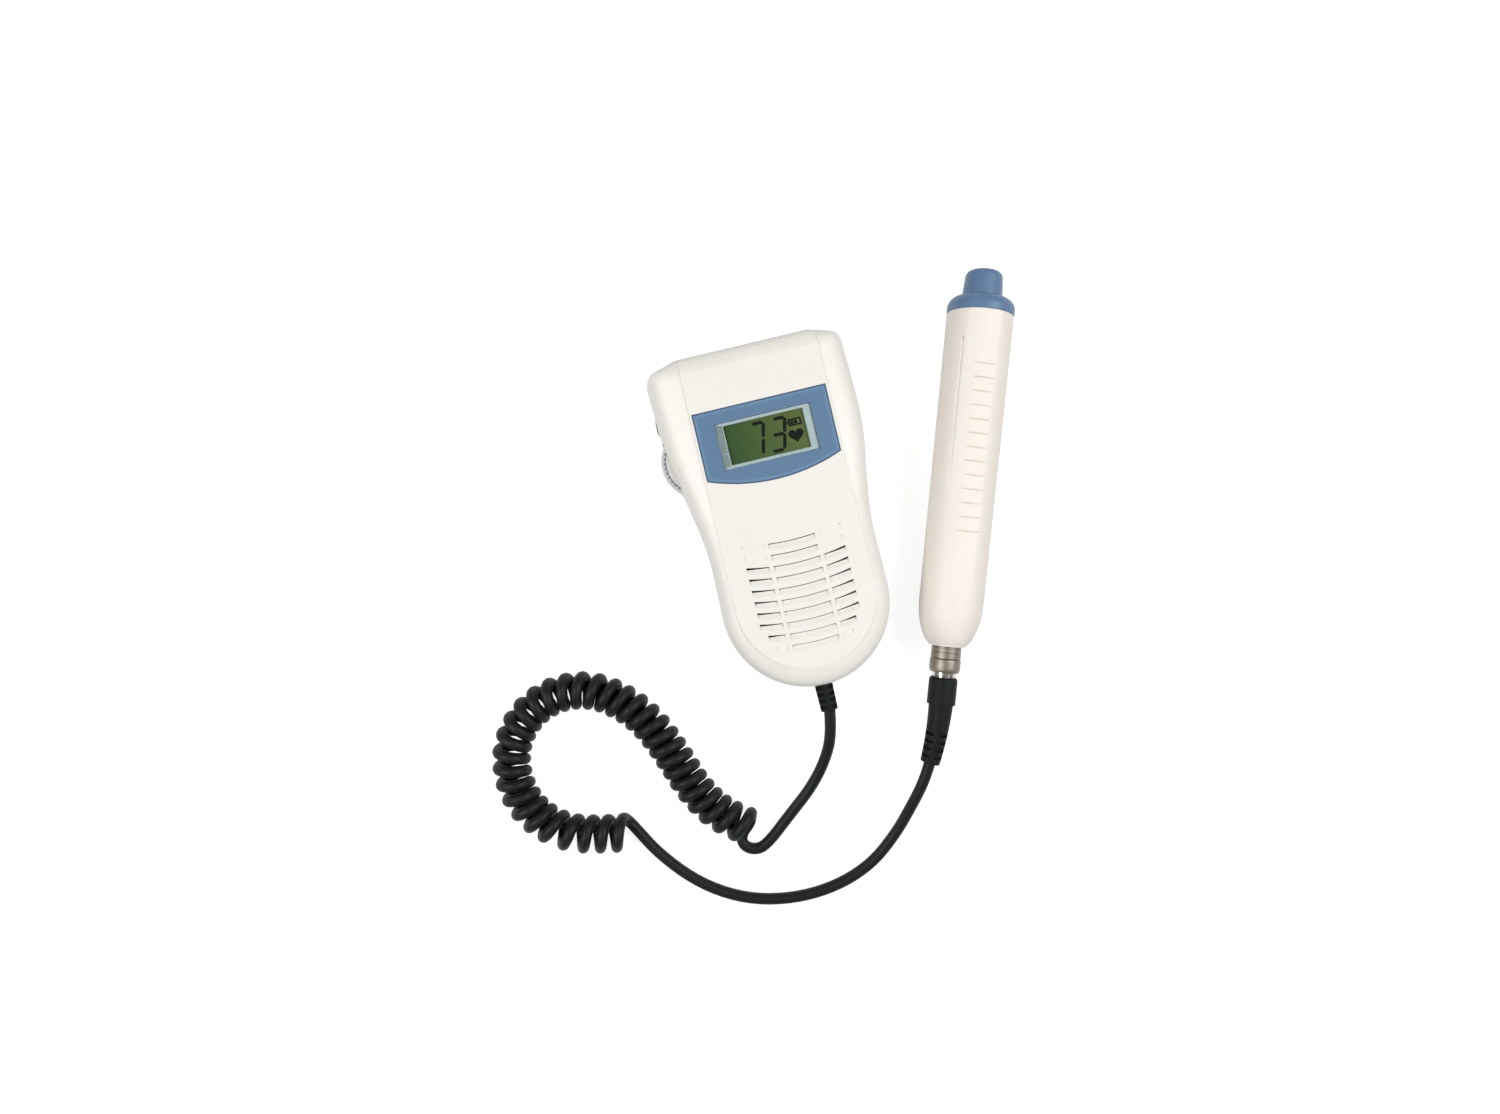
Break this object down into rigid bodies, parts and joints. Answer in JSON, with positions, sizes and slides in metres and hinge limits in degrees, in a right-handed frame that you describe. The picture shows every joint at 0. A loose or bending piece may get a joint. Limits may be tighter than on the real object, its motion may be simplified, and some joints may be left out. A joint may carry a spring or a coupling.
{
  "type": "vascular doppler",
  "caption": "Hand-held vascular doppler: display unit with speaker louvres and side volume dial, curly cord and a pencil probe on a round connector.",
  "frame": {"origin": "middle of the main unit's rear face, which it lies on", "axes": "+Z out of the front of the main unit, +Y towards its display end, +X to the right of the display"},
  "size_m": [0.2391, 0.226, 0.0347],
  "materials": {
    "white_shell": "fine matt moulding",
    "blue_label": "printed film",
    "clear_window": "clear",
    "light_bezel": "matt",
    "lcd_green": "olive green glass stack",
    "holder_grey": "matt",
    "board_green": "solder mask",
    "black_module": "moulded",
    "speaker_steel": "plated",
    "speaker_paper": "paper cone",
    "dial_grey": "knurled rim",
    "dial_white": "smooth",
    "nickel": "satin nickel",
    "cell_wrap": "plain wrap",
    "screw_steel": "zinc plated",
    "black_rubber": "matt",
    "black_boot": "matt",
    "insert_cream": "moulded",
    "probe_white": "smooth",
    "probe_blue": "smooth",
    "face_blue": "smooth",
    "ceramic": "fired"
  },
  "bodies": {
    "main_unit": {"front_shell": "white_shell", "rear_shell": "white_shell", "display_panel": "blue_label", "display_window": "clear_window", "lcd_bezel": "light_bezel", "lcd_glass": "lcd_green", "lcd_holder": "holder_grey", "volume_control": "holder_grey", "main_board": "board_green", "signal_chip": "black_module", "power_module": "black_module", "audio_module": "black_module", "speaker_frame": "speaker_steel", "speaker_magnet": "speaker_steel", "speaker_cone": "speaker_paper", "earphone_jack": "nickel", "battery_contact_low": "nickel", "battery_contact_high": "nickel", "plug_barrel": "nickel", "battery_left": "cell_wrap", "battery_right": "cell_wrap", "case_screw_1": "screw_steel", "case_screw_2": "screw_steel", "case_screw_3": "screw_steel", "case_screw_4": "screw_steel", "unit_strain_relief": "black_rubber", "cord_unit_side": "black_rubber", "cord_coil": "black_rubber", "cord_probe_side": "black_rubber", "plug_relief": "black_rubber", "plug_boot": "black_boot", "plug_insert": "insert_cream"},
    "dial": {"volume_dial": "dial_grey", "dial_face": "dial_white"},
    "door": {"battery_door": "white_shell"},
    "sleeve": {"release_sleeve": "nickel"},
    "probe": {"probe_body": "probe_white", "probe_head": "probe_blue", "transducer_face": "face_blue", "crystal_left": "ceramic", "crystal_right": "ceramic", "probe_board": "board_green", "probe_socket": "nickel", "socket_nut": "nickel", "socket_insert": "insert_cream"}
  },
  "joints": [
    {"name": "volume_turn", "type": "hinge", "parent": "main_unit", "child": "dial", "pos_m": [-0.027, 0.0276, 0.0208], "axis": [0, 0, 1], "range_deg": [-150, 150]},
    {"name": "door_slide", "type": "slide", "parent": "main_unit", "child": "door", "axis": [0, 1, 0], "range_m": [0, 0.06]},
    {"name": "sleeve_release", "type": "slide", "parent": "main_unit", "child": "sleeve", "axis": [-0.3289, -0.9444, 0], "range_m": [0, 0.0016], "stiffness_N_per_m": 300, "springref_m": -0.001},
    {"name": "probe_unplug", "type": "slide", "parent": "main_unit", "child": "probe", "axis": [0.3289, 0.9444, 0], "range_m": [0, 0.016]}
  ]
}
